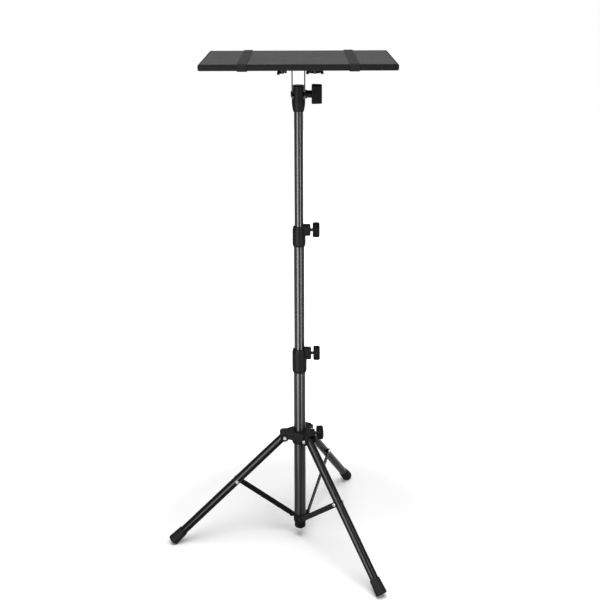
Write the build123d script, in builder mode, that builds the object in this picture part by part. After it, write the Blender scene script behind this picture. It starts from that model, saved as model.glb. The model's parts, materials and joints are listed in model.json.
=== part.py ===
from build123d import *
import os
from math import atan2, cos, hypot, radians, sin

os.makedirs("parts", exist_ok=True)

# Portable projector stand: a folding tripod, two telescoping tubes above it
# and a strapped tray on a tilting head.
# +Z is up, X runs along the tray's width, and the tray's front faces -Y.
# The origin is on the floor, under the column's axis.

# Clearances
slide_gap = 0.3
pin_gap = 0.05
seat_gap = 0.05
swing_gap = 0.5

# Legs and struts
leg_yaw = 185.7
leg_angle = 45.6
leg_d = 20.0
leg_len = 388.0
tube_wall = 1.2
foot_len = 38.0
foot_cap = 6.0
foot_top_d = 23.6
foot_end_d = 27.4
foot_round = 3.0
foot_flat = 0.6
strut_on_leg = 163.0
strut_width = 12.5
strut_thick = 3.0
strut_drop = 220.0
strut_pivot_r = 20.0
rivet_d = 6.0
rivet_head_d = 9.0
rivet_head_h = 2.2
rivet_head_taper = 22.0
pin_d = 5.0

# Column tubes, each over the next
lower_d = 28.0
mid_d = 24.0
top_d = 20.0
lower_len = 434.0
mid_len = 400.0
top_len = 400.0
mid_insert = 100.0
top_insert = 100.0
column_tail = 15.0

# Foot of the column
base_collar_d = 31.4
base_collar_h = 23.0
base_collar_edge = 1.5
lug_thick = 5.0
lug_round = 5.5
plug_d = 27.0
plug_drop = 17.5
plug_spigot = 18.0
plug_round = 5.0

# Leg hub
hub_pivot_r = 37.5
hub_reach = 47.5
hub_arm_w = 30.0
hub_web_reach = 31.0
hub_corner = 6.0
hub_above = 15.0
hub_wall_drop = 3.0
hub_ear_round = 9.5
hub_neck_drop = 18.0
hub_neck_d = 36.0
hub_roof = 2.5
hub_skin = 3.5
hub_bevel_in = 5.0
hub_bevel_h = 6.0
hub_boss_d = 19.0
hub_boss_reach = 36.0
hub_screw_above = 4.0

# Clamp collars, screws and knobs
low_collar_d = 34.0
low_collar_h = 57.0
low_collar_grip = 33.0
low_boss_reach = 27.5
low_boss_h = 31.0
high_collar_d = 29.5
high_collar_h = 46.0
high_collar_grip = 27.0
high_boss_reach = 25.8
high_boss_h = 27.0
boss_w = 20.0
boss_round = 9.0
boss_edge = 3.5
collar_boss_rise = 5.0
collar_taper = 5.0
collar_lead = 1.5
collar_shoulder = 7.0
collar_shoulder_in = 1.6
collar_dish = 3.0
collar_lip = 1.0
screw_d = 8.0
screw_seat = 9.0
knob_standoff = 4.8
knob_d = 34.0
knob_h = 15.4
knob_edge = 3.5
knob_lobes = 8
knob_flute_r = 4.2
knob_flute_depth = 1.5

# Head and tilt joint
head_d = 29.0
head_h = 56.0
head_socket = 26.0
head_mouth_d = 22.6
head_taper = 19.0
head_belly = 1.0
head_edge = 2.0
tilt_above = 37.0
bolt_d = 8.0
ear_round = 11.5
ear_thick = 2.5
ear_gap = 24.4
tilt_head_d = 14.0
tilt_head_h = 2.0
tilt_neck_d = 16.0
tilt_neck_h = 13.0
tilt_flange_d = 19.0
tilt_flange_h = 3.0
tilt_bar_len = 43.0
tilt_bar_h = 22.4
tilt_bar_w = 15.0
tilt_bar_round = 6.0
tilt_bar_edge = 3.0
tilt_bar_draft = 2.0
tilt_bolt_room = 1.0

# Tray, bracket, bolts and straps
tray_rise = 65.0
tray_w = 400.0
tray_depth = 300.0
tray_thick = 12.5
tray_corner = 6.0
tray_edge = 3.0
plate_w = 104.0
plate_depth = 52.0
plate_corner = 8.0
tray_bolt_x = 35.0
tray_bolt_head_d = 16.0
tray_bolt_head_h = 4.0
tray_bolt_sink = 0.4
tray_bolt_end = 2.0
wing_span = 38.0
wing_h = 21.0
wing_thick = 3.2
wing_hub_d = 15.0
wing_hub_top_d = 12.0
wing_hub_h = 17.5
wing_root = 2.0
wing_tip_w = 7.0
wing_tip_round = 3.0
wing_dip = 2.0
wing_turn_left = 62.0
wing_turn_right = 4.0
strap_x = 112.0
strap_w = 20.0
strap_thick = 1.4

# Heights worked out from the floor up
lean = radians(leg_angle)
sole_r = foot_end_d / 2 - foot_round
sole_drop = (leg_len - foot_round) * cos(lean) + sole_r * sin(lean) + foot_round
hub_pivot_z = sole_drop - foot_flat
strut_z = hub_pivot_z - strut_drop
lower_base = strut_z - column_tail
lower_top = lower_base + lower_len
low_collar_base = lower_top - low_collar_grip
low_collar_top = low_collar_base + low_collar_h
low_screw_z = low_collar_top + collar_boss_rise - low_boss_h / 2
mid_base = lower_top - mid_insert
mid_top = mid_base + mid_len
high_collar_base = mid_top - high_collar_grip
high_collar_top = high_collar_base + high_collar_h
high_screw_z = high_collar_top + collar_boss_rise - high_boss_h / 2
top_base = mid_top - top_insert
top_top = top_base + top_len
head_base = top_top - head_socket
head_top = head_base + head_h
tilt_z = head_base + tilt_above
tray_base = tilt_z + tray_rise
tray_top = tray_base + tray_thick
plate_base = tray_base - ear_thick
hub_top = hub_pivot_z + hub_above
hub_wall_base = hub_pivot_z - hub_wall_drop
hub_neck_base = hub_pivot_z - hub_neck_drop
hub_screw_z = hub_pivot_z + hub_screw_above
tray_bolt_top = tray_top - tray_bolt_sink
tray_bolt_base = plate_base - wing_hub_h - tray_bolt_end
tray_bolt_places = [(-tray_bolt_x, 0), (tray_bolt_x, 0)]

# Strut geometry in a leg's own upright plane
strut_far_r = hub_pivot_r + strut_on_leg * sin(lean)
strut_far_z = hub_pivot_z - strut_on_leg * cos(lean)
strut_len = hypot(strut_far_r - strut_pivot_r, strut_far_z - strut_z)
strut_rise = atan2(strut_far_z - strut_z, strut_far_r - strut_pivot_r)
strut_side = leg_d / 2 + swing_gap
lug_side = strut_side - slide_gap

legs = {"left": leg_yaw, "front": leg_yaw + 120, "rear": leg_yaw + 240}


def save(part, name):
    """Label a finished piece and write it out."""
    part.label = name
    export_step(part, f"parts/{name}.step")


def outward(yaw):
    """Level direction from the column's axis at a yaw."""
    return Vector(cos(radians(yaw)), sin(radians(yaw)), 0)


def sideways(yaw):
    """Level direction across a leg, along its rivets."""
    return Vector(-sin(radians(yaw)), cos(radians(yaw)), 0)


def upright(yaw, across=0):
    """Upright plane along a leg: x out from the column, y up, z to the strut's side."""
    return Plane(origin=sideways(yaw) * -across, x_dir=outward(yaw), z_dir=sideways(yaw) * -1)


def leg_frame(yaw):
    """Frame at a hub pivot: x along the rivet, y to the leg's upper side, z down the leg."""
    down = outward(yaw) * sin(lean) - Vector(0, 0, cos(lean))
    pivot = outward(yaw) * hub_pivot_r + Vector(0, 0, hub_pivot_z)
    return Plane(origin=pivot, x_dir=sideways(yaw), z_dir=down)


def strut_frame(yaw, across):
    """Frame at a strut's lower pivot: x along the strut, z to the side away from the leg."""
    along = outward(yaw) * cos(strut_rise) + Vector(0, 0, sin(strut_rise))
    pivot = outward(yaw) * strut_pivot_r + Vector(0, 0, strut_z) - sideways(yaw) * across
    return Plane(origin=pivot, x_dir=along, z_dir=sideways(yaw) * -1)


def dome(plane, diameter, height):
    """Low round rivet head, rising from a plane inside the current part."""
    with BuildSketch(plane) as foot:
        Circle(diameter / 2)
    extrude(foot.sketch, amount=height, taper=rivet_head_taper)


def tube(diameter, base, length):
    """Round steel tube on the column's axis."""
    with BuildPart() as made:
        with BuildSketch(Plane.XY.offset(base)):
            Circle(diameter / 2)
            Circle(diameter / 2 - tube_wall, mode=Mode.SUBTRACT)
        extrude(amount=length)
    return made.part


# Column tubes
save(tube(lower_d, lower_base, lower_len), "lower_tube")
save(tube(mid_d, mid_base, mid_len), "middle_tube")
save(tube(top_d, top_base, top_len), "top_tube")

# Collar at the column's foot, with one lug beside each strut
with BuildPart() as base_collar:
    with BuildSketch(Plane.XY.offset(lower_base)):
        Circle(base_collar_d / 2)
    extrude(amount=base_collar_h)
    chamfer(base_collar.edges().filter_by(GeomType.CIRCLE), base_collar_edge)
    for yaw in legs.values():
        with BuildSketch(upright(yaw, lug_side - lug_thick)):
            with Locations((strut_pivot_r, strut_z)):
                Circle(lug_round)
            with Locations((base_collar_d / 4, strut_z)):
                Rectangle(base_collar_d / 2, 2 * lug_round)
            make_hull()
        extrude(amount=lug_thick)
    with BuildSketch(Plane.XY.offset(lower_base)):
        Circle(lower_d / 2 + seat_gap)
    extrude(amount=base_collar_h, mode=Mode.SUBTRACT)
    for yaw in legs.values():
        with BuildSketch(upright(yaw, lug_side - lug_thick)):
            with Locations((strut_pivot_r, strut_z)):
                Circle(pin_d / 2 + seat_gap)
        extrude(amount=lug_thick, mode=Mode.SUBTRACT)
save(base_collar.part, "base_collar")

# Pins that the struts turn on
pin_end = strut_side + strut_thick + slide_gap
with BuildPart() as strut_pins:
    for yaw in legs.values():
        inner = upright(yaw, lug_side - lug_thick)
        with BuildSketch(inner):
            with Locations((strut_pivot_r, strut_z)):
                Circle(pin_d / 2)
        extrude(amount=pin_end - (lug_side - lug_thick))
        dome(strut_frame(yaw, pin_end), rivet_head_d, rivet_head_h)
save(strut_pins.part, "strut_pins")

# Plastic plug in the column's lower end
with BuildPart() as end_plug:
    with BuildSketch(Plane.XY.offset(lower_base - plug_drop)):
        Circle(plug_d / 2)
    extrude(amount=plug_drop)
    fillet(end_plug.edges().group_by(Axis.Z)[0], plug_round)
    with BuildSketch(Plane.XY.offset(lower_base)):
        Circle(lower_d / 2 - tube_wall - seat_gap)
    extrude(amount=plug_spigot)
save(end_plug.part, "end_plug")

# Leg hub: a moulded block with three forked arms
with BuildPart() as leg_hub:
    with BuildSketch(Plane.XY.offset(hub_wall_base)) as hub_plan:
        with PolarLocations(hub_web_reach / 2, 3, leg_yaw):
            Rectangle(hub_web_reach, hub_arm_w)
        make_hull()
        with PolarLocations(hub_reach / 2, 3, leg_yaw):
            Rectangle(hub_reach, hub_arm_w)
        hub_tips = hub_plan.vertices().filter_by(lambda v: hypot(v.X, v.Y) > hub_reach)
        fillet(hub_tips, hub_corner)
    extrude(amount=hub_top - hub_wall_base)
    hub_roof_face = leg_hub.faces().sort_by(Axis.Z)[-1]
    chamfer(hub_roof_face.edges(), hub_bevel_in, hub_bevel_h, reference=hub_roof_face)
    for yaw in legs.values():
        with BuildSketch(upright(yaw, -hub_arm_w / 2)):
            with Locations((hub_pivot_r, hub_pivot_z)):
                Circle(hub_ear_round)
            with Locations((hub_pivot_r, hub_pivot_z + hub_ear_round / 2)):
                Rectangle(2 * hub_ear_round, hub_ear_round)
        extrude(amount=hub_arm_w)
    with BuildSketch(Plane.XY.offset(hub_wall_base)):
        with PolarLocations(hub_web_reach / 2, 3, leg_yaw):
            Rectangle(hub_web_reach, hub_arm_w)
        make_hull()
        offset(amount=-hub_skin)
        with PolarLocations(hub_reach / 2, 3, leg_yaw):
            Rectangle(hub_reach, hub_arm_w, mode=Mode.SUBTRACT)
    extrude(amount=hub_top - hub_bevel_h - hub_roof - hub_wall_base, mode=Mode.SUBTRACT)
    with BuildSketch(Plane.XY.offset(hub_neck_base)):
        Circle(hub_neck_d / 2)
    extrude(amount=hub_top - hub_neck_base)
    with BuildSketch(Plane(origin=(0, 0, hub_screw_z), x_dir=(0, 0, 1), z_dir=outward(leg_yaw + 180))):
        Circle(hub_boss_d / 2)
    extrude(amount=hub_boss_reach)
    with BuildSketch(Plane.XY.offset(hub_neck_base)):
        with PolarLocations(hub_neck_d / 2 + hub_reach / 2, 3, leg_yaw):
            Rectangle(hub_reach, leg_d + 2 * swing_gap)
    extrude(amount=hub_top - hub_roof - hub_neck_base, mode=Mode.SUBTRACT)
    with BuildSketch(Plane.XY.offset(hub_neck_base)):
        Circle(lower_d / 2 + slide_gap)
    extrude(amount=hub_top - hub_neck_base, mode=Mode.SUBTRACT)
    with BuildSketch(Plane(origin=(0, 0, hub_screw_z), x_dir=(0, 0, 1), z_dir=outward(leg_yaw + 180))):
        Circle(screw_d / 2 + pin_gap)
    extrude(amount=hub_boss_reach, mode=Mode.SUBTRACT)
    for yaw in legs.values():
        with BuildSketch(upright(yaw, -hub_arm_w / 2)):
            with Locations((hub_pivot_r, hub_pivot_z)):
                Circle(rivet_d / 2 + seat_gap)
        extrude(amount=hub_arm_w, mode=Mode.SUBTRACT)
save(leg_hub.part, "leg_hub")

# Rivets that hold the legs in the hub's forks
with BuildPart() as hub_rivets:
    for yaw in legs.values():
        across = leg_frame(yaw)
        for side in (-1, 1):
            face = Plane(across.origin, x_dir=across.z_dir, z_dir=across.x_dir * side)
            with BuildSketch(face):
                Circle(rivet_d / 2)
            extrude(amount=hub_arm_w / 2)
            dome(face.offset(hub_arm_w / 2), rivet_head_d, rivet_head_h)
save(hub_rivets.part, "hub_rivets")


def save_at_legs(part, stem):
    """Write a copy of a leg piece, made in its own frame, at each leg."""
    for name, yaw in legs.items():
        save(part.moved(leg_frame(yaw).location), f"{stem}_{name}")


# Leg: a tube with a rounded upper end, made along its own axis
leg_across = Plane.YZ.offset(-leg_d)
with BuildPart() as leg_tube:
    with BuildSketch(Plane.XY.offset(-leg_d / 2)):
        Circle(leg_d / 2)
        Circle(leg_d / 2 - tube_wall, mode=Mode.SUBTRACT)
    extrude(amount=leg_d / 2 + leg_len - foot_cap)
    with BuildSketch(leg_across):
        with Locations((0, -leg_d / 2)):
            Rectangle(2 * leg_d, leg_d)
        Circle(leg_d / 2, mode=Mode.SUBTRACT)
    extrude(amount=2 * leg_d, mode=Mode.SUBTRACT)
    with BuildSketch(leg_across):
        Circle(rivet_d / 2 + pin_gap)
        with Locations((0, strut_on_leg)):
            Circle(pin_d / 2 + seat_gap)
    extrude(amount=2 * leg_d, mode=Mode.SUBTRACT)
save_at_legs(leg_tube.part, "leg_tube")

# Rubber foot, pushed over the leg's end and flattened where it stands
floor_at = (0, 0, hub_pivot_z / cos(lean))
floor_in_leg = Plane(origin=floor_at, x_dir=(1, 0, 0), z_dir=(0, sin(lean), -cos(lean)))
with BuildPart() as leg_foot:
    with BuildSketch(Plane.XY.offset(leg_len)):
        Circle(foot_end_d / 2)
    with BuildSketch(Plane.XY.offset(leg_len - foot_len)):
        Circle(foot_top_d / 2)
    loft()
    fillet(leg_foot.edges().group_by(Axis.Z)[-1], foot_round)
    with BuildSketch(Plane.XY.offset(leg_len - foot_len)):
        Circle(leg_d / 2 + seat_gap)
    extrude(amount=foot_len - foot_cap, mode=Mode.SUBTRACT)
    split(bisect_by=floor_in_leg, keep=Keep.TOP)
save_at_legs(leg_foot.part, "leg_foot")

# Leg's own half of the strut joint: a rivet with its head on the open side
with BuildPart() as leg_rivet:
    with BuildSketch(Plane.YZ.offset(-leg_d / 2)):
        with Locations((0, strut_on_leg)):
            Circle(pin_d / 2)
    extrude(amount=leg_d)
    open_side = Plane(origin=(leg_d / 2, 0, strut_on_leg), x_dir=(0, 1, 0), z_dir=(1, 0, 0))
    dome(open_side, rivet_head_d, rivet_head_h)
save_at_legs(leg_rivet.part, "leg_rivet")

# Struts: flat steel bars, each with the outer rivet head of its leg joint
for name, yaw in legs.items():
    bar_plane = strut_frame(yaw, strut_side)
    with BuildPart() as strut_bar:
        with BuildSketch(bar_plane):
            with Locations((strut_len / 2, 0)):
                SlotCenterToCenter(strut_len, strut_width)
            Circle(pin_d / 2 + pin_gap, mode=Mode.SUBTRACT)
            with Locations((strut_len, 0)):
                Circle(pin_d / 2 + seat_gap, mode=Mode.SUBTRACT)
        extrude(amount=strut_thick)
    save(strut_bar.part, f"strut_bar_{name}")
    with BuildPart() as strut_rivet:
        with BuildSketch(bar_plane):
            with Locations((strut_len, 0)):
                Circle(pin_d / 2)
        extrude(amount=strut_thick)
        outer = Plane(bar_plane.from_local_coords((strut_len, 0, strut_thick)), z_dir=bar_plane.z_dir)
        dome(outer, rivet_head_d, rivet_head_h)
    save(strut_rivet.part, f"strut_rivet_{name}")


def clamp_collar(body_d, base, height, grip, outer_tube_d, inner_tube_d, boss_reach, boss_h):
    """Moulded collar on a tube's upper end, with a boss on +X for its clamp screw."""
    r = body_d / 2
    outer_r = outer_tube_d / 2 + seat_gap
    inner_r = inner_tube_d / 2 + slide_gap
    top = base + height
    screw_z = top + collar_boss_rise - boss_h / 2
    with BuildPart() as made:
        with BuildSketch(Plane.XZ):
            with BuildLine():
                Polyline(
                    (0, base),
                    (r - collar_lead, base),
                    (r, base + collar_taper),
                    (r, top - collar_shoulder),
                    (r - collar_shoulder_in, top),
                    (0, top),
                    close=True,
                )
            make_face()
        revolve(axis=Axis.Z)
        with BuildSketch(Plane.YZ):
            with Locations((0, screw_z)):
                RectangleRounded(boss_w, boss_h, boss_round)
        extrude(amount=boss_reach)
        fillet(made.faces().sort_by(Axis.X)[-1].outer_wire().edges(), boss_edge)
        with BuildSketch(Plane.XY.offset(base)):
            Circle(outer_r)
        extrude(amount=grip, mode=Mode.SUBTRACT)
        with BuildSketch(Plane.XY.offset(base + grip)):
            Circle(inner_r)
        extrude(amount=height + collar_boss_rise - grip, mode=Mode.SUBTRACT)
        with BuildSketch(Plane.XY.offset(top)):
            Circle(r - collar_shoulder_in - collar_lip)
        with BuildSketch(Plane.XY.offset(top - collar_dish)):
            Circle(inner_r)
        loft(mode=Mode.SUBTRACT)
        with BuildSketch(Plane.YZ):
            with Locations((0, screw_z)):
                Circle(screw_d / 2 + pin_gap)
        extrude(amount=boss_reach, mode=Mode.SUBTRACT)
    return made.part


def clamp_knob(seat):
    """Fluted hand knob with rounded rims, on a plane square to its screw."""
    r = knob_d / 2
    along = Plane(seat.origin, x_dir=seat.x_dir, z_dir=seat.y_dir * -1)
    with BuildPart() as made:
        with BuildSketch(along):
            Rectangle(r, knob_h, align=Align.MIN)
        revolve(axis=Axis(seat.origin, seat.z_dir))
        fillet(made.edges().filter_by(GeomType.CIRCLE), knob_edge)
        with BuildSketch(seat):
            with PolarLocations(r + knob_flute_r - knob_flute_depth, knob_lobes):
                Circle(knob_flute_r)
        extrude(amount=knob_h, mode=Mode.SUBTRACT)
        with BuildSketch(seat):
            Circle(screw_d / 2 + seat_gap)
        extrude(amount=screw_seat, mode=Mode.SUBTRACT)
    return made.part


def clamp_screw(seat, tip_r):
    """Steel screw from a knob inward, its tip just off the tube that it grips."""
    reach = (seat.origin - Vector(0, 0, seat.origin.Z)).length
    with BuildPart() as made:
        with BuildSketch(seat.offset(tip_r - reach)):
            Circle(screw_d / 2)
        extrude(amount=reach - tip_r + screw_seat)
    return made.part


# Clamp collars, each on the upper end of its tube
low_collar = clamp_collar(
    low_collar_d, low_collar_base, low_collar_h, low_collar_grip,
    lower_d, mid_d, low_boss_reach, low_boss_h,
)
save(low_collar, "low_collar")
high_collar = clamp_collar(
    high_collar_d, high_collar_base, high_collar_h, high_collar_grip,
    mid_d, top_d, high_boss_reach, high_boss_h,
)
save(high_collar, "high_collar")

# Clamp knobs and their screws
clamps = {
    "low": (0, low_boss_reach, low_screw_z, mid_d),
    "high": (0, high_boss_reach, high_screw_z, top_d),
    "hub": (leg_yaw + 180, hub_boss_reach, hub_screw_z, lower_d),
}
for name, (yaw, boss_reach, screw_z, gripped_d) in clamps.items():
    seat_at = outward(yaw) * (boss_reach + knob_standoff) + Vector(0, 0, screw_z)
    seat = Plane(origin=seat_at, x_dir=(0, 0, 1), z_dir=outward(yaw))
    save(clamp_knob(seat), f"{name}_knob")
    save(clamp_screw(seat, gripped_d / 2 + slide_gap), f"{name}_screw")

# Head: a tapered socket on the top tube, flattened between the bracket's ears
with BuildPart() as head:
    with BuildSketch(Plane.XZ):
        with BuildLine():
            Polyline((0, head_base), (head_mouth_d / 2, head_base))
            ThreePointArc(
                (head_mouth_d / 2, head_base),
                (head_d / 2 - head_belly, head_base + head_taper / 2),
                (head_d / 2, head_base + head_taper),
            )
            Polyline(
                (head_d / 2, head_base + head_taper),
                (head_d / 2, head_top - head_edge),
                (head_d / 2 - head_edge, head_top),
                (0, head_top),
                (0, head_base),
            )
        make_face()
    revolve(axis=Axis.Z)
    ear_ledge = tilt_z - ear_round - swing_gap
    with BuildSketch(Plane.XY.offset(ear_ledge)):
        Rectangle(2 * head_d, 2 * head_d)
        Rectangle(ear_gap - 2 * slide_gap, 2 * head_d, mode=Mode.SUBTRACT)
    extrude(amount=head_top - ear_ledge, mode=Mode.SUBTRACT)
    with BuildSketch(Plane.XY.offset(head_base)):
        Circle(top_d / 2 + seat_gap)
    extrude(amount=head_socket, mode=Mode.SUBTRACT)
    with BuildSketch(Plane.YZ):
        with Locations((0, tilt_z)):
            Circle(bolt_d / 2 + pin_gap)
    extrude(amount=head_d, both=True, mode=Mode.SUBTRACT)
save(head.part, "head")

# Bracket under the tray: a plate with two ears that straddle the head
ear_out = ear_gap / 2 + ear_thick
with BuildPart() as tilt_bracket:
    with BuildSketch(Plane.XY.offset(plate_base)):
        RectangleRounded(plate_w, plate_depth, plate_corner)
        with Locations(*tray_bolt_places):
            Circle(bolt_d / 2 + seat_gap, mode=Mode.SUBTRACT)
    extrude(amount=ear_thick)
    for ear_x in (-ear_out, ear_gap / 2):
        with BuildSketch(Plane.YZ.offset(ear_x)):
            with Locations((0, tilt_z)):
                Circle(ear_round)
            with Locations((0, (tilt_z + plate_base) / 2)):
                Rectangle(2 * ear_round, plate_base - tilt_z)
            with Locations((0, tilt_z)):
                Circle(bolt_d / 2 + seat_gap, mode=Mode.SUBTRACT)
        extrude(amount=ear_thick)
save(tilt_bracket.part, "tilt_bracket")

# Tilt bolt, its head on the left ear
with BuildPart() as tilt_bolt:
    with BuildSketch(Plane.YZ.offset(-ear_out)):
        with Locations((0, tilt_z)):
            Circle(bolt_d / 2)
    extrude(amount=2 * ear_out + tilt_neck_h + tilt_bar_h / 2)
    left_ear = Plane(origin=(-ear_out, 0, tilt_z), x_dir=(0, 1, 0), z_dir=(-1, 0, 0))
    dome(left_ear, tilt_head_d, tilt_head_h)
save(tilt_bolt.part, "tilt_bolt")

# Tilt knob: a crossbar on a round neck, screwed on the tilt bolt
bar_x = ear_out + slide_gap + tilt_neck_h
with BuildPart() as tilt_knob:
    with BuildSketch(Plane.YZ.offset(bar_x)):
        with Locations((0, tilt_z)):
            RectangleRounded(tilt_bar_w, tilt_bar_len, tilt_bar_round)
    extrude(amount=tilt_bar_h, taper=tilt_bar_draft)
    bar_ends = tilt_knob.faces().sort_by(Axis.X)
    fillet(bar_ends[0].edges() + bar_ends[-1].edges(), tilt_bar_edge)
    with BuildSketch(Plane.YZ.offset(ear_out + slide_gap)):
        with Locations((0, tilt_z)):
            Circle(tilt_neck_d / 2)
    extrude(amount=tilt_neck_h)
    with BuildSketch(Plane.YZ.offset(ear_out + slide_gap)):
        with Locations((0, tilt_z)):
            Circle(tilt_flange_d / 2)
    extrude(amount=tilt_flange_h)
    with BuildSketch(Plane.YZ.offset(ear_out)):
        with Locations((0, tilt_z)):
            Circle(bolt_d / 2 + pin_gap)
    extrude(amount=tilt_neck_h + tilt_bar_h / 2 + tilt_bolt_room, mode=Mode.SUBTRACT)
save(tilt_knob.part, "tilt_knob")

# Tray: a laminated board with rounded edges and two sunk bolt holes
with BuildPart() as tray_board:
    with BuildSketch(Plane.XY.offset(tray_base)):
        RectangleRounded(tray_w, tray_depth, tray_corner)
    extrude(amount=tray_thick)
    fillet(tray_board.faces().filter_by(Axis.Z).edges(), tray_edge)
    with BuildSketch(Plane.XY.offset(tray_base)):
        with Locations(*tray_bolt_places):
            Circle(bolt_d / 2 + seat_gap)
    extrude(amount=tray_thick, mode=Mode.SUBTRACT)
    with BuildSketch(Plane.XY.offset(tray_bolt_top - tray_bolt_head_h)):
        with Locations(*tray_bolt_places):
            Circle(tray_bolt_head_d / 2 + seat_gap)
    extrude(amount=tray_bolt_head_h + tray_bolt_sink, mode=Mode.SUBTRACT)
save(tray_board.part, "tray_board")

# Bolts through the tray and the bracket's plate
with BuildPart() as tray_bolts:
    with BuildSketch(Plane.XY.offset(tray_bolt_base)):
        with Locations(*tray_bolt_places):
            Circle(bolt_d / 2)
    extrude(amount=tray_bolt_top - tray_bolt_base)
    with BuildSketch(Plane.XY.offset(tray_bolt_top - tray_bolt_head_h)):
        with Locations(*tray_bolt_places):
            Circle(tray_bolt_head_d / 2)
    extrude(amount=tray_bolt_head_h)
save(tray_bolts.part, "tray_bolts")


def wing_nut(x, turn):
    """Wing nut under the bracket's plate, its wings pointing down."""
    across = Plane(origin=(x, 0, plate_base), x_dir=outward(turn), z_dir=sideways(turn) * -1)
    half = wing_span / 2
    root = (wing_hub_d / 2 - wing_root / 2, -wing_root)
    back = (half - wing_tip_round, -wing_h / 2)
    tip_out = (half, wing_tip_round - wing_h)
    tip_end = (half - wing_tip_w / 2, -wing_h)
    tip_in = (half - wing_tip_w, wing_tip_round - wing_h)
    dip = (half - wing_tip_w - wing_tip_round, wing_dip - wing_h)
    with BuildPart() as made:
        with BuildSketch(Plane.XY.offset(plate_base)):
            with Locations((x, 0)):
                Circle(wing_hub_d / 2)
        with BuildSketch(Plane.XY.offset(plate_base - wing_hub_h)):
            with Locations((x, 0)):
                Circle(wing_hub_top_d / 2)
        loft()
        with BuildSketch(across.offset(-wing_thick / 2)):
            with BuildLine() as wing:
                Polyline((0, -wing_root), root)
                Spline(root, back, tip_out)
                ThreePointArc(tip_out, tip_end, tip_in)
                Polyline(tip_in, dip, (0, wing_dip - wing_h))
                mirror(about=Plane.YZ)
            make_face()
        extrude(amount=wing_thick)
        with BuildSketch(Plane.XY.offset(plate_base - wing_h)):
            with Locations((x, 0)):
                Circle(bolt_d / 2 + seat_gap)
        extrude(amount=wing_h, mode=Mode.SUBTRACT)
    return made.part


save(wing_nut(-tray_bolt_x, wing_turn_left), "wing_nut_left")
save(wing_nut(tray_bolt_x, wing_turn_right), "wing_nut_right")

# Elastic straps, snug round the tray
for name, x in (("left", -strap_x), ("right", strap_x)):
    with BuildPart() as strap:
        with BuildSketch(Plane.YZ.offset(x - strap_w / 2)):
            with Locations((0, tray_base + tray_thick / 2)):
                for spread, mode in ((slide_gap + strap_thick, Mode.ADD), (slide_gap, Mode.SUBTRACT)):
                    RectangleRounded(
                        tray_depth + 2 * spread, tray_thick + 2 * spread, tray_edge + spread, mode=mode
                    )
        extrude(amount=strap_w)
    save(strap.part, f"strap_{name}")
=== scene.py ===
import json
import math

import bmesh
import bpy
from mathutils import Matrix, Vector


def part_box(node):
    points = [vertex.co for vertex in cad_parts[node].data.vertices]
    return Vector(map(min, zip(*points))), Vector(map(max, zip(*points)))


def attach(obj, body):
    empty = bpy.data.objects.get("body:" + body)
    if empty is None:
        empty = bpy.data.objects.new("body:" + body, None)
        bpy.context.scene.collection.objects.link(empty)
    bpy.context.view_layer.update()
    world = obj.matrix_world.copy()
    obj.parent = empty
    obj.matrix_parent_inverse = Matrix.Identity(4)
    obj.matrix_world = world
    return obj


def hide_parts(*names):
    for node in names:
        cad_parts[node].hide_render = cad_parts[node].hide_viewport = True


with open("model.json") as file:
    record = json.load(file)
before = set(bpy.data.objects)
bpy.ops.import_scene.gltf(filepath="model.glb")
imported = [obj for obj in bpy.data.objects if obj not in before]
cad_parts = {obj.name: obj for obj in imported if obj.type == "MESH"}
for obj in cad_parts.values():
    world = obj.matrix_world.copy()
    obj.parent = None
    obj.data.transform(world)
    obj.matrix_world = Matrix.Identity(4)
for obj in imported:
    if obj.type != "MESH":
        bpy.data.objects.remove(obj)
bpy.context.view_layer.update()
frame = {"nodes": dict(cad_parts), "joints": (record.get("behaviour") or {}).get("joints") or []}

# Column tubes: three drawn steel tubes that telescope into each other.
# Each is stoved in black lacquer, and the inner two carry faint lengthwise
# rub marks where they slide through the clamp collars.
LACQUER = "#101011"
LACQUER_RUBBED = "#1a1a1b"
PEEL_MM = 2.2
# Rub marks, drawn a few times wider than real ones so that they show.
RUB_MM = 0.9
RUB_LENGTH_MM = 90.0
CLEAR_EDGE = math.radians(30)


def linear(hex_colour):
    """An sRGB hex value as a linear colour with full alpha."""
    channels = [int(hex_colour[i:i + 2], 16) / 255 for i in (1, 3, 5)]
    return [c / 12.92 if c <= 0.04045 else ((c + 0.055) / 1.055) ** 2.4 for c in channels] + [1.0]


def per_metre(size_mm):
    """Texture scale at which one cell of a pattern has that real size."""
    return 1000.0 / size_mm


def add(tree, kind, settings=None, links=None):
    """Add a shader node, set its properties and sockets, and link its inputs."""
    node = tree.nodes.new("ShaderNode" + kind)
    for key, value in (settings or {}).items():
        if isinstance(key, int) or key in node.inputs:
            node.inputs[key].default_value = value
        else:
            setattr(node, key, value)
    for key, source in (links or {}).items():
        tree.links.new(source, node.inputs[key])
    return node


def new_material(name, **sockets):
    """A material with a principled shader; constants go straight on its sockets."""
    material = bpy.data.materials.new(name)
    material.use_nodes = True
    shader = material.node_tree.nodes["Principled BSDF"]
    for key, value in sockets.items():
        shader.inputs[key.replace("_", " ")].default_value = value
    return material, material.node_tree, shader


def dress(material, *names):
    """Give CAD nodes a material and smooth shading up to a clear edge."""
    for name in names:
        mesh = frame["nodes"][name].data
        mesh.materials.clear()
        mesh.materials.append(material)
        mesh.shade_smooth()
        mesh.set_sharp_from_angle(angle=CLEAR_EDGE)


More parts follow.
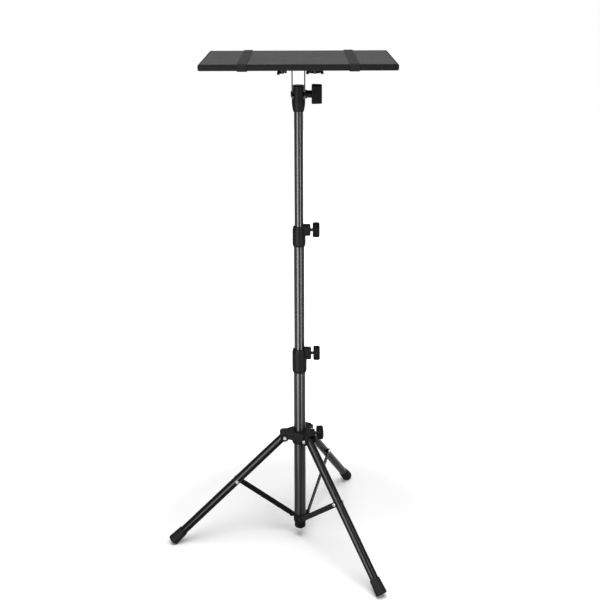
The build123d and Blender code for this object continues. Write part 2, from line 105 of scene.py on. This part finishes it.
# Stoved lacquer on ground steel tube: semi-gloss, with a soft orange peel and a few rub marks.
# The grinding runs round the tube, so a lamp draws out into a long line on it.
ground_lacquer, tree, shader = new_material(
    "stoved_black_lacquer_on_ground_tube", IOR=1.45, Specular_IOR_Level=0.24,
    Anisotropic=0.85, Anisotropic_Rotation=0.25)
place = add(tree, "TexCoord").outputs["Object"]
round_tube = add(tree, "Tangent", {"direction_type": "RADIAL", "axis": "Z"})
tree.links.new(round_tube.outputs[0], shader.inputs["Tangent"])
stretch = add(tree, "Mapping", {"Scale": (1, 1, RUB_MM / RUB_LENGTH_MM)}, {"Vector": place})
rubs = add(
    tree, "TexNoise",
    {"Scale": per_metre(RUB_MM), "Detail": 4.0, "Roughness": 0.6},
    {"Vector": stretch.outputs[0]},
)
rub_mask = add(tree, "MapRange", {"From Min": 0.62, "From Max": 0.8}, {"Value": rubs.outputs["Fac"]})
colour = add(
    tree, "Mix",
    {"data_type": "RGBA", 6: linear(LACQUER), 7: linear(LACQUER_RUBBED)},
    {0: rub_mask.outputs[0]},
)
tree.links.new(colour.outputs[2], shader.inputs["Base Color"])
gloss = add(tree, "MapRange", {"To Min": 0.28, "To Max": 0.32}, {"Value": rubs.outputs["Fac"]})
tree.links.new(gloss.outputs[0], shader.inputs["Roughness"])
peel = add(tree, "TexNoise", {"Scale": per_metre(PEEL_MM), "Detail": 1.0}, {"Vector": place})
bump = add(tree, "Bump", {"Strength": 0.005, "Distance": 0.0002}, {"Height": peel.outputs["Fac"]})
tree.links.new(bump.outputs[0], shader.inputs["Normal"])
dress(ground_lacquer, "lower_tube", "middle_tube", "top_tube")

# Foot of the column: a moulded collar pressed on the tube's end, with a lug beside each strut,
# and a plug that closes the tube.  Both are black nylon with a fine spark-eroded grain.
NYLON = "#0c0c0d"
NYLON_WORN = "#161617"
# The grain is drawn about ten times coarser than the real 0.1 mm, so that it shows.
GRAIN_MM = 1.1
FLOW_MM = 24.0

# Moulded nylon: dull black, with a fine even grain and a faint cloudiness from the melt's flow.
moulded_nylon, tree, shader = new_material(
    "spark_grained_black_nylon", IOR=1.53, Specular_IOR_Level=0.03)
place = add(tree, "TexCoord").outputs["Object"]
grain = add(
    tree, "TexNoise",
    {"Scale": per_metre(GRAIN_MM), "Detail": 3.0, "Roughness": 0.7},
    {"Vector": place},
)
flow = add(tree, "TexNoise", {"Scale": per_metre(FLOW_MM), "Detail": 2.0}, {"Vector": place})
colour = add(
    tree, "Mix",
    {"data_type": "RGBA", 6: linear(NYLON), 7: linear(NYLON_WORN)},
    {0: flow.outputs["Fac"]},
)
tree.links.new(colour.outputs[2], shader.inputs["Base Color"])
gloss = add(tree, "MapRange", {"To Min": 0.42, "To Max": 0.56}, {"Value": grain.outputs["Fac"]})
tree.links.new(gloss.outputs[0], shader.inputs["Roughness"])
bump = add(tree, "Bump", {"Strength": 0.15, "Distance": 0.0002}, {"Height": grain.outputs["Fac"]})
tree.links.new(bump.outputs[0], shader.inputs["Normal"])
dress(moulded_nylon, "base_collar", "end_plug")

# Leg hub: a nylon moulding with three forked arms that slides on the lower tube.
# Nickel-plated rivets hold the legs in its forks.
NICKEL = "#aeada9"
# Scuffs from tumbling, drawn coarser than real ones so that they show.
SCRATCH_MM = 0.8

dress(moulded_nylon, "leg_hub")

# Nickel plate over tumbled steel: a satin, slightly warm metal with fine scuffs that break its mirror.
nickel_plate, tree, shader = new_material("nickel_plated_tumbled_steel", Metallic=1.0)
place = add(tree, "TexCoord").outputs["Object"]
scuff = add(tree, "TexNoise", {"Scale": per_metre(SCRATCH_MM), "Detail": 3.0}, {"Vector": place})
shader.inputs["Base Color"].default_value = linear(NICKEL)
gloss = add(tree, "MapRange", {"To Min": 0.3, "To Max": 0.55}, {"Value": scuff.outputs["Fac"]})
tree.links.new(gloss.outputs[0], shader.inputs["Roughness"])
dress(nickel_plate, "hub_rivets")

# Legs: lacquered tubes pivoted in the hub, each with a flared rubber foot
# pushed over its end and the leg's half of the strut rivet.
LEG_LACQUER = "#0d0d0e"
LEG_SCUFFED = "#252526"
SCUFF_MM = 14.0
RUBBER = "#0b0b0b"
RUBBER_DUST = "#4a4946"
DUST_MM = 7.0
DUST_HIGH = 0.012
LEGS = ("left", "front", "rear")

# Stoved lacquer on drawn steel: satin, with the peel of a sprayed coat and dull scuffs from folding.
satin_lacquer, tree, shader = new_material(
    "stoved_black_lacquer_on_drawn_steel", IOR=1.45, Specular_IOR_Level=0.07)
place = add(tree, "TexCoord").outputs["Object"]
scuffs = add(
    tree, "TexNoise",
    {"Scale": per_metre(SCUFF_MM), "Detail": 8.0, "Roughness": 0.75},
    {"Vector": place},
)
scuff_mask = add(
    tree, "MapRange", {"From Min": 0.58, "From Max": 0.75},
    {"Value": scuffs.outputs["Fac"]},
)
colour = add(
    tree, "Mix",
    {"data_type": "RGBA", 6: linear(LEG_LACQUER), 7: linear(LEG_SCUFFED)},
    {0: scuff_mask.outputs[0]},
)
tree.links.new(colour.outputs[2], shader.inputs["Base Color"])
gloss = add(tree, "MapRange", {"To Min": 0.16, "To Max": 0.28}, {"Value": scuffs.outputs["Fac"]})
tree.links.new(gloss.outputs[0], shader.inputs["Roughness"])
peel = add(tree, "TexNoise", {"Scale": per_metre(PEEL_MM), "Detail": 1.0}, {"Vector": place})
bump = add(tree, "Bump", {"Strength": 0.015, "Distance": 0.0002}, {"Height": peel.outputs["Fac"]})
tree.links.new(bump.outputs[0], shader.inputs["Normal"])
dress(satin_lacquer, *[f"leg_tube_{leg}" for leg in LEGS])
dress(nickel_plate, *[f"leg_rivet_{leg}" for leg in LEGS])

# Moulded rubber: a dead matt black, greyed by floor dust round its lowest rim.
foot_rubber, tree, shader = new_material(
    "moulded_black_rubber", IOR=1.52, Roughness=0.72, Specular_IOR_Level=0.06)
place = add(tree, "TexCoord").outputs["Object"]
height = add(tree, "SeparateXYZ", {}, {0: place})
low = add(
    tree, "MapRange",
    {"From Min": DUST_HIGH, "From Max": 0.0, "To Max": 0.55},
    {"Value": height.outputs["Z"]},
)
specks = add(tree, "TexNoise", {"Scale": per_metre(DUST_MM), "Detail": 6.0}, {"Vector": place})
dust = add(tree, "Math", {"operation": "MULTIPLY"}, {0: low.outputs[0], 1: specks.outputs["Fac"]})
colour = add(
    tree, "Mix",
    {"data_type": "RGBA", 6: linear(RUBBER), 7: linear(RUBBER_DUST)},
    {0: dust.outputs[0]},
)
tree.links.new(colour.outputs[2], shader.inputs["Base Color"])
bump = add(tree, "Bump", {"Strength": 0.2, "Distance": 0.0003}, {"Height": specks.outputs["Fac"]})
tree.links.new(bump.outputs[0], shader.inputs["Normal"])
dress(foot_rubber, *[f"leg_foot_{leg}" for leg in LEGS])

# Struts: flat steel bars punched from strip and lacquered, pinned to the base collar
# and riveted to the legs.
dress(satin_lacquer, *[f"strut_bar_{leg}" for leg in LEGS], "strut_pins")
dress(nickel_plate, *[f"strut_rivet_{leg}" for leg in LEGS])

# Clamp collars and knobs: nylon collars on the tubes' ends, each with a boss
# for a steel screw, and fluted knobs moulded on the screws.
KNOB = "#080809"
KNOB_HANDLED = "#121213"
# The grain is drawn about ten times coarser than the real one, so that it shows.
FINE_GRAIN_MM = 0.7
HANDLED_MM = 9.0
ZINC = "#4b4d50"
PATCH_MM = 6.0
THREAD_PITCH = 0.00125
THREAD_DEPTH = 0.0006
# The thread tapers away over a few rows at each end.
LEAD_DEPTH = 0.0008
LEAD_ROWS = 4
ROWS_A_TURN = 8
SIDES = 28

dress(moulded_nylon, "low_collar", "high_collar")

# Moulded ABS with a fine matt grain: near black, a touch smoother where hands have worn it.
matt_abs, tree, shader = new_material("moulded_fine_matt_black_abs", IOR=1.54, Specular_IOR_Level=0.025)
place = add(tree, "TexCoord").outputs["Object"]
grain = add(
    tree, "TexNoise",
    {"Scale": per_metre(FINE_GRAIN_MM), "Detail": 3.0, "Roughness": 0.7},
    {"Vector": place},
)
handled = add(tree, "TexNoise", {"Scale": per_metre(HANDLED_MM), "Detail": 3.0}, {"Vector": place})
colour = add(
    tree, "Mix",
    {"data_type": "RGBA", 6: linear(KNOB), 7: linear(KNOB_HANDLED)},
    {0: handled.outputs["Fac"]},
)
tree.links.new(colour.outputs[2], shader.inputs["Base Color"])
gloss = add(tree, "MapRange", {"To Min": 0.6, "To Max": 0.42}, {"Value": handled.outputs["Fac"]})
tree.links.new(gloss.outputs[0], shader.inputs["Roughness"])
bump = add(tree, "Bump", {"Strength": 0.35, "Distance": 0.0002}, {"Height": grain.outputs["Fac"]})
tree.links.new(bump.outputs[0], shader.inputs["Normal"])
dress(matt_abs, "low_knob", "high_knob", "hub_knob")

# Black passivated zinc plate: a dark bluish metal, faintly patchy from the bath.
zinc_plate, tree, shader = new_material("black_passivated_zinc_plated_steel", Metallic=1.0)
place = add(tree, "TexCoord").outputs["Object"]
patches = add(tree, "TexVoronoi", {"Scale": per_metre(PATCH_MM)}, {"Vector": place})
colour = add(
    tree, "Mix",
    {"data_type": "RGBA", "blend_type": "MULTIPLY", 0: 0.15, 6: linear(ZINC)},
    {7: patches.outputs["Color"]},
)
tree.links.new(colour.outputs[2], shader.inputs["Base Color"])
gloss = add(tree, "MapRange", {"To Min": 0.26, "To Max": 0.42}, {"Value": patches.outputs["Distance"]})
tree.links.new(gloss.outputs[0], shader.inputs["Roughness"])


def threaded_rod(node, joint, body):
    """Stand a screw with a rolled thread in the place of a plain CAD screw."""
    axis = next(Vector(j["axis"]) for j in frame["joints"] if j["name"] == joint).normalized()
    points = [v.co for v in frame["nodes"][node].data.vertices]
    low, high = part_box(node)
    middle = (low + high) / 2
    reach = max(abs((p - middle).dot(axis)) for p in points)
    radius = max(((p - middle) - axis * (p - middle).dot(axis)).length for p in points)
    turn = axis.to_track_quat("Z", "Y")
    rows = int(2 * reach / THREAD_PITCH * ROWS_A_TURN)
    mesh = bmesh.new()
    rings = []
    for r in range(rows + 1):
        z = -reach + 2 * reach * r / rows
        lead = LEAD_DEPTH * (1 - min(r, rows - r, LEAD_ROWS) / LEAD_ROWS)
        ring = []
        for i in range(SIDES):
            phase = (z / THREAD_PITCH - i / SIDES) % 1.0
            dip = THREAD_DEPTH * abs(2 * phase - 1)
            size = radius - dip - lead
            t = 2 * math.pi * i / SIDES
            point = Vector((size * math.cos(t), size * math.sin(t), z))
            ring.append(mesh.verts.new(middle + turn @ point))
        rings.append(ring)
    for r in range(rows):
        for i in range(SIDES):
            j = (i + 1) % SIDES
            face = mesh.faces.new((rings[r][i], rings[r][j], rings[r + 1][j], rings[r + 1][i]))
            face.smooth = True
    mesh.faces.new(list(reversed(rings[0])))
    mesh.faces.new(rings[-1])
    data = bpy.data.meshes.new(node + "_threaded")
    mesh.to_mesh(data)
    mesh.free()
    data.materials.append(zinc_plate)
    screw = bpy.data.objects.new(node + "_threaded", data)
    bpy.context.scene.collection.objects.link(screw)
    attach(screw, body)
    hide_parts(node)


threaded_rod("low_screw", "low_knob_turn", "low_clamp")
threaded_rod("high_screw", "high_knob_turn", "high_clamp")
threaded_rod("hub_screw", "hub_knob_turn", "hub_clamp")

# Head and tilt joint: a nylon socket on the top tube, held between the ears of a black lacquered
# sheet-steel bracket by a black oxide bolt with a crossbar knob.
BLACK_OXIDE = "#2c2c2e"
OXIDE_RUBBED = "#4a4a4b"
OXIDE_MM = 2.5

dress(moulded_nylon, "head")
dress(matt_abs, "tilt_knob")
dress(satin_lacquer, "tilt_bracket")

# Black oxide on steel: a dark metal sheen, a little brighter where a spanner has rubbed it.
black_oxide, tree, shader = new_material("black_oxide_finished_steel", Metallic=1.0)
place = add(tree, "TexCoord").outputs["Object"]
rubbed = add(
    tree, "TexNoise",
    {"Scale": per_metre(OXIDE_MM), "Detail": 5.0, "Roughness": 0.65},
    {"Vector": place},
)
colour = add(
    tree, "Mix",
    {"data_type": "RGBA", 6: linear(BLACK_OXIDE), 7: linear(OXIDE_RUBBED)},
    {0: rubbed.outputs["Fac"]},
)
tree.links.new(colour.outputs[2], shader.inputs["Base Color"])
gloss = add(tree, "MapRange", {"To Min": 0.68, "To Max": 0.52}, {"Value": rubbed.outputs["Fac"]})
tree.links.new(gloss.outputs[0], shader.inputs["Roughness"])
dress(black_oxide, "tilt_bolt")

# Tray: a board faced in pebbled charcoal laminate with a smooth black edging, held to the bracket
# by two bolts and lacquered wing nuts. The edging's black on the sides and rounded rims is partly
# painted shade.
LAMINATE = "#1b1b1c"
LAMINATE_LIGHT = "#242425"
EDGING_AND_RIM_SHADE = "#0a0a0b"
EDGING_AND_SHADE_WIDE = 0.0045
EDGING_DULL = 0.8
# The pebbles are drawn about twice their real size, so that they show.
EMBOSS_MM = 1.6
CLOUD_MM = 60.0

# Pebbled laminate: a matt charcoal with a fine raised grain, inside a dead matt rim of soft edging,
# whose black on the sides and rounded rims is partly painted shade.
charcoal_laminate, tree, shader = new_material(
    "pebbled_charcoal_laminate_on_board", IOR=1.5, Specular_IOR_Level=0.07)
place = add(tree, "TexCoord").outputs["Object"]
pebbles = add(
    tree, "TexVoronoi",
    {"Scale": per_metre(EMBOSS_MM), "feature": "SMOOTH_F1"},
    {"Vector": place},
)
cloud = add(tree, "TexNoise", {"Scale": per_metre(CLOUD_MM), "Detail": 3.0}, {"Vector": place})
colour = add(
    tree, "Mix",
    {"data_type": "RGBA", 6: linear(LAMINATE), 7: linear(LAMINATE_LIGHT)},
    {0: cloud.outputs["Fac"]},
)
# Faces turned sideways, and a band round the top's rim, are painted black: partly edging, partly
# painted shade where the rims turn from the light.
facing = add(tree, "SeparateXYZ", {}, {0: add(tree, "TexCoord").outputs["Normal"]})
level = add(tree, "Math", {"operation": "ABSOLUTE"}, {0: facing.outputs["Z"]})
face_mask = add(tree, "MapRange", {"From Min": 0.8, "From Max": 0.97}, {"Value": level.outputs[0]})
low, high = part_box("tray_board")
inside = (high - low) / 2 - Vector((EDGING_AND_SHADE_WIDE, EDGING_AND_SHADE_WIDE, 0))
from_middle = add(tree, "VectorMath", {"operation": "SUBTRACT", 1: (low + high) / 2}, {0: place})
from_middle = add(tree, "VectorMath", {"operation": "ABSOLUTE"}, {0: from_middle.outputs[0]})
from_middle = add(tree, "SeparateXYZ", {}, {0: from_middle.outputs[0]})
ends = add(tree, "Math", {"operation": "LESS_THAN", 1: inside.x}, {0: from_middle.outputs["X"]})
sides = add(tree, "Math", {"operation": "LESS_THAN", 1: inside.y}, {0: from_middle.outputs["Y"]})
inner = add(tree, "Math", {"operation": "MULTIPLY"}, {0: ends.outputs[0], 1: sides.outputs[0]})
inner = add(tree, "Math", {"operation": "MULTIPLY"}, {0: inner.outputs[0], 1: face_mask.outputs[0]})
colour = add(
    tree, "Mix",
    {"data_type": "RGBA", 6: linear(EDGING_AND_RIM_SHADE)},
    {0: inner.outputs[0], 7: colour.outputs[2]},
)
tree.links.new(colour.outputs[2], shader.inputs["Base Color"])
gloss = add(tree, "MapRange", {"To Min": 0.5, "To Max": 0.62}, {"Value": cloud.outputs["Fac"]})
gloss = add(tree, "Mix", {2: EDGING_DULL}, {0: inner.outputs[0], 3: gloss.outputs[0]})
tree.links.new(gloss.outputs[0], shader.inputs["Roughness"])
emboss = add(
    tree, "Math", {"operation": "MULTIPLY"},
    {0: pebbles.outputs["Distance"], 1: inner.outputs[0]},
)
bump = add(tree, "Bump", {"Strength": 0.7, "Distance": 0.0006}, {"Height": emboss.outputs[0]})
tree.links.new(bump.outputs[0], shader.inputs["Normal"])
dress(charcoal_laminate, "tray_board")
dress(black_oxide, "tray_bolts")
dress(satin_lacquer, "wing_nut_left", "wing_nut_right")

# Straps: two loops of black elastic webbing, woven in lengthwise ribs and drawn snug round the tray.
# Each loop's ends lap under the board, sewn with two zigzag bars.
WEBBING = "#171718"
WEBBING_PICK_HIGHLIGHT = "#2a2a2b"
STRAP_THICK = 0.0014
STRAP_FOLD = 0.004
STRAP_RIBS = 12
# Shares: a groove's depth of the thickness, a selvedge's width of half the strap, and its thinning.
GROOVE = 0.22
SELVEDGE = 0.06
SELVEDGE_THIN = 0.6
PATH_STEP = 0.004
FOLD_STEPS = 8
STRAP_LAP = 0.036
LAP_STEPS = 12
# The lap is drawn a hair narrower than the loop, so that their edges stay apart.
LAP_WIDE = 0.985
PICK_MM = 1.5
# Fuzz and the thread's twist are drawn coarser than real fibres, so that they show.
FUZZ_MM = 0.8
TWIST_MM = 1.2
THREAD = "#242425"
THREAD_LIT = "#3a3a3b"
THREAD_DIA = 0.0007
# Stitched bars: shares of the lap's length, the strap's width and its thickness.
BAR_OFF = 0.32
BAR_WIDE = 0.9
BAR_LOW = 0.52
BAR_TURNS = 26
ZIGZAG = 0.0018

# Woven elastic: matt, ribbed lengthwise, with fine picks across, painted lighter where they catch a
# little light: a painted highlight.
elastic_webbing, tree, shader = new_material(
    "woven_black_elastic_webbing", IOR=1.5, Specular_IOR_Level=0.05, Sheen_Weight=0.06)
cloth = add(tree, "UVMap", {"uv_map": "strip"}).outputs["UV"]
# A wave texture runs through 20 radians in one unit of its scale.
pick_scale = per_metre(PICK_MM) * 2 * math.pi / 20
picks = add(
    tree, "TexWave",
    {"Scale": pick_scale, "bands_direction": "Y", "Distortion": 1.5, "Detail": 1.0},
    {"Vector": cloth},
)
fuzz = add(tree, "TexNoise", {"Scale": per_metre(FUZZ_MM), "Detail": 4.0}, {"Vector": cloth})
weave = add(tree, "Math", {"operation": "MULTIPLY"}, {0: picks.outputs["Fac"], 1: fuzz.outputs["Fac"]})
# The picks and fuzz are painted lighter: a painted highlight.
colour = add(
    tree, "Mix",
    {"data_type": "RGBA", 6: linear(WEBBING), 7: linear(WEBBING_PICK_HIGHLIGHT)},
    {0: weave.outputs[0]},
)
tree.links.new(colour.outputs[2], shader.inputs["Base Color"])
dull = add(tree, "MapRange", {"To Min": 0.74, "To Max": 0.92}, {"Value": fuzz.outputs["Fac"]})
tree.links.new(dull.outputs[0], shader.inputs["Roughness"])
bump = add(tree, "Bump", {"Strength": 0.5, "Distance": 0.0003}, {"Height": weave.outputs[0]})
tree.links.new(bump.outputs[0], shader.inputs["Normal"])

# Polyester sewing thread: soft black, flecked lighter with painted sheen where its twist catches the
# light.
sewing_thread, tree, shader = new_material("twisted_black_polyester_thread", IOR=1.5, Roughness=0.6)
place = add(tree, "TexCoord").outputs["Object"]
twist_sheen = add(tree, "TexNoise", {"Scale": per_metre(TWIST_MM), "Detail": 2.0}, {"Vector": place})
# The lighter flecks are painted sheen on the twist.
colour = add(
    tree, "Mix",
    {"data_type": "RGBA", 6: linear(THREAD), 7: linear(THREAD_LIT)},
    {0: twist_sheen.outputs["Fac"]},
)
tree.links.new(colour.outputs[2], shader.inputs["Base Color"])


def loop_path(half_depth, half_height):
    """Points and outward directions round a rounded rectangle in YZ, from under its middle."""
    places = []
    y0, z0 = 0, -half_height
    for sy, sz, start in ((1, -1, -90), (1, 1, 0), (-1, 1, 90), (-1, -1, 180)):
        cy = sy * (half_depth - STRAP_FOLD)
        cz = sz * (half_height - STRAP_FOLD)
        bend = []
        for i in range(FOLD_STEPS + 1):
            t = math.radians(start + 90 * i / FOLD_STEPS)
            out = (math.cos(t), math.sin(t))
            bend.append(((cy + STRAP_FOLD * out[0], cz + STRAP_FOLD * out[1]), out))
        y1, z1 = bend[0][0]
        steps = max(2, int(math.hypot(y1 - y0, z1 - z0) / PATH_STEP))
        for i in range(1 if places else 0, steps):
            share = i / steps
            places.append(((y0 + (y1 - y0) * share, z0 + (z1 - z0) * share), bend[0][1]))
        places.extend(bend)
        y0, z0 = places[-1][0]
    steps = max(2, int(abs(y0) / PATH_STEP))
    places.extend([((y0 * (1 - i / steps), z0), places[-1][1]) for i in range(1, steps)])
    return places


def ribbed_strip(mesh, uv, rows, width, closed):
    """Skin a ribbed strip over rows of (point, outward direction, distance along)."""
    across = 4 * STRAP_RIBS
    profile = []
    for side in (1, -1):
        for i in range(across + 1):
            u = side * (2 * i / across - 1)
            rib = (1 - GROOVE) + GROOVE * abs(math.cos(math.pi * STRAP_RIBS * u / 2))
            edge = 1 - max(0.0, (abs(u) - (1 - SELVEDGE)) / SELVEDGE) ** 2 * SELVEDGE_THIN
            profile.append((u * width / 2, side * STRAP_THICK / 2 * rib * edge))
    rings = []
    for point, out, _ in rows:
        rings.append([mesh.verts.new(point + out * h + Vector((x, 0, 0))) for x, h in profile])
    count = len(profile)
    last = len(rings) if closed else len(rings) - 1
    for r in range(last):
        ring, after = rings[r], rings[(r + 1) % len(rings)]
        along = rows[r][2]
        after_along = rows[r + 1][2] if r + 1 < len(rings) else along + PATH_STEP
        for i in range(count):
            j = (i + 1) % count
            face = mesh.faces.new((ring[i], after[i], after[j], ring[j]))
            face.smooth = True
            x0, x1 = profile[i][0], profile[j][0]
            marks = ((x0, along), (x0, after_along), (x1, after_along), (x1, along))
            for corner, mark in zip(face.loops, marks):
                corner[uv].uv = mark
    if not closed:
        mesh.faces.new(rings[0])
        mesh.faces.new(list(reversed(rings[-1])))


for node in ("strap_left", "strap_right"):
    low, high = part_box(node)
    middle = (low + high) / 2
    width = high.x - low.x
    path = loop_path((high.y - low.y - STRAP_THICK) / 2, (high.z - low.z - STRAP_THICK) / 2)
    rows = []
    along = 0.0
    for i, ((y, z), (oy, oz)) in enumerate(path):
        if i:
            along += math.dist(path[i - 1][0], path[i][0])
        rows.append((Vector((middle.x, middle.y + y, middle.z + z)), Vector((0, oy, oz)), along))
    mesh = bmesh.new()
    uv = mesh.loops.layers.uv.new("strip")
    ribbed_strip(mesh, uv, rows, width, True)
    lap_z = low.z - STRAP_THICK / 2
    lap = []
    for i in range(LAP_STEPS + 1):
        y = STRAP_LAP * (i / LAP_STEPS - 0.5)
        lap.append((Vector((middle.x, middle.y + y, lap_z)), Vector((0, 0, -1)), y))
    ribbed_strip(mesh, uv, lap, width * LAP_WIDE, False)
    data = bpy.data.meshes.new(node + "_webbing")
    mesh.normal_update()
    mesh.to_mesh(data)
    mesh.free()
    data.materials.append(elastic_webbing)
    strap = bpy.data.objects.new(node + "_webbing", data)
    bpy.context.scene.collection.objects.link(strap)
    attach(strap, "tray")
    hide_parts(node)

    bars = bpy.data.curves.new(node + "_stitches", "CURVE")
    bars.dimensions = "3D"
    bars.bevel_depth = THREAD_DIA / 2
    bars.bevel_resolution = 2
    for y in (-STRAP_LAP * BAR_OFF, STRAP_LAP * BAR_OFF):
        bar = bars.splines.new("POLY")
        bar.points.add(BAR_TURNS)
        for i in range(BAR_TURNS + 1):
            x = (i / BAR_TURNS - 0.5) * width * BAR_WIDE
            zig = ZIGZAG if i % 2 else -ZIGZAG
            bar.points[i].co = (middle.x + x, middle.y + y + zig, lap_z - STRAP_THICK * BAR_LOW, 1)
    stitches = bpy.data.objects.new(node + "_stitches", bars)
    bpy.context.scene.collection.objects.link(stitches)
    bars.materials.append(sewing_thread)
    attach(stitches, "tray")

# Floor and studio: a pale floor that keeps the stand's shadow and fades to white, clear from
# below so that the stand's underside can be seen, under white surroundings.
FLOOR = "#f2f2f2"
FLOOR_RADIUS = 6.0
FLOOR_SIDES = 96
# White added to the floor near the stand, which keeps its shadow pale.
FLOOR_LIFT = 0.135
SHADOW_REACH = 0.34
FADE_TO = 0.72
SURROUND = 0.25

bpy.ops.mesh.primitive_circle_add(vertices=FLOOR_SIDES, radius=FLOOR_RADIUS, fill_type="NGON")
floor = bpy.context.object
floor.name = "studio_floor"
floor_paint = bpy.data.materials.new("pale_studio_floor")
floor_paint.use_nodes = True
tree = floor_paint.node_tree
tree.nodes.clear()
place = add(tree, "TexCoord").outputs["Object"]
reach = add(tree, "VectorMath", {"operation": "LENGTH"}, {0: place})
fade = add(
    tree, "MapRange",
    {"interpolation_type": "SMOOTHSTEP", "From Min": SHADOW_REACH,
     "From Max": FADE_TO, "To Min": FLOOR_LIFT},
    {"Value": reach.outputs["Value"]},
)
ray = add(tree, "LightPath")
seen = add(
    tree, "Math", {"operation": "MAXIMUM"},
    {0: ray.outputs["Is Camera Ray"], 1: ray.outputs["Is Glossy Ray"]},
)
seen = add(
    tree, "Math", {"operation": "MAXIMUM"},
    {0: seen.outputs[0], 1: ray.outputs["Is Transmission Ray"]},
)
share = add(tree, "Math", {"operation": "MULTIPLY"}, {0: fade.outputs[0], 1: seen.outputs[0]})
matt = add(tree, "BsdfDiffuse", {"Color": linear(FLOOR)})
white = add(tree, "Emission", {}, {"Strength": share.outputs[0]})
both = add(tree, "AddShader", {}, {0: matt.outputs[0], 1: white.outputs[0]})
clear = add(tree, "BsdfTransparent")
under = add(tree, "NewGeometry").outputs["Backfacing"]
one_way = add(tree, "MixShader", {}, {0: under, 1: both.outputs[0], 2: clear.outputs[0]})
add(tree, "OutputMaterial", {}, {"Surface": one_way.outputs[0]})
floor.data.materials.append(floor_paint)

world = bpy.data.worlds.new("white_studio")
bpy.context.scene.world = world
world.use_nodes = True
tree = world.node_tree
tree.nodes.clear()
ray = add(tree, "LightPath")
seen = add(
    tree, "Math", {"operation": "MAXIMUM"},
    {0: ray.outputs["Is Camera Ray"], 1: ray.outputs["Is Glossy Ray"]},
)
seen = add(
    tree, "Math", {"operation": "MAXIMUM"},
    {0: seen.outputs[0], 1: ray.outputs["Is Transmission Ray"]},
)
soft = add(tree, "Background", {"Color": (1, 1, 1, 1), "Strength": SURROUND})
white = add(tree, "Background", {"Color": (1, 1, 1, 1), "Strength": 1.0})
both = add(tree, "MixShader", {}, {0: seen.outputs[0], 1: soft.outputs[0], 2: white.outputs[0]})
add(tree, "OutputWorld", {}, {"Surface": both.outputs[0]})

# Lamps: one softbox lights the stand, and tall strips draw the long lines of sheen on its tubes.
# The strips are flagged off the plated and blackened metal, which would flash white in them,
# and the rear one off the hub too, whose flat roof would mirror it towards the front.
plated = [name for name in frame["nodes"] if "rivet" in name] + ["tilt_bolt", "tray_bolts"]


def softbox(name, place, aim, width, height, power, flagged=()):
    """A rectangular lamp that faces a point; one with flags shows only in the gloss of other nodes."""
    lamp = bpy.data.lights.new(name, "AREA")
    lamp.shape = "RECTANGLE"
    lamp.size = width
    lamp.size_y = height
    lamp.energy = power
    holder = bpy.data.objects.new(name, lamp)
    bpy.context.scene.collection.objects.link(holder)
    holder.location = place
    holder.visible_camera = False
    if flagged:
        holder.visible_diffuse = False
        flags = bpy.data.collections.new(name + "_flags")
        for node in flagged:
            flags.objects.link(frame["nodes"][node])
        for entry in flags.collection_objects:
            entry.light_linking.link_state = "EXCLUDE"
        holder.light_linking.receiver_collection = flags
    holder.rotation_euler = (Vector(aim) - Vector(place)).to_track_quat("-Z", "Y").to_euler()


softbox(
    "top_softbox", place=(0.1, -0.8, 3.0), aim=(0, 0, 0),
    width=2.2, height=2.2, power=106)
softbox(
    "left_strip", place=(-0.43, -0.68, 0.57), aim=(0, 0, 0.57),
    width=0.48, height=1.1, power=46, flagged=plated)
softbox(
    "right_strip", place=(0.52, -0.61, 0.57), aim=(0, 0, 0.57),
    width=0.17, height=1.1, power=19, flagged=plated)
softbox(
    "rear_strip", place=(0, 1.2, 0.42), aim=(0, 0, 0.42),
    width=0.2, height=0.8, power=16, flagged=plated + ["leg_hub"])

# Camera: at the photograph's place, fitted to the tray's corners and the three feet.
CAMERA_PLACE = (0.0017, -2.1792, 1.3802)
CAMERA_PITCH = 19.17
CAMERA_ROLL = -0.21
CAMERA_LENS = 60.36
CAMERA_SENSOR = 36.0

camera = bpy.data.objects.new("camera", bpy.data.cameras.new("camera"))
bpy.context.scene.collection.objects.link(camera)
camera.data.sensor_width = CAMERA_SENSOR
camera.data.lens = CAMERA_LENS
camera.matrix_world = (
    Matrix.Translation(CAMERA_PLACE)
    @ Matrix.Rotation(math.radians(90 - CAMERA_PITCH), 4, "X")
    @ Matrix.Rotation(math.radians(CAMERA_ROLL), 4, "Z")
)
bpy.context.scene.camera = camera
bpy.context.scene.view_settings.view_transform = "Standard"
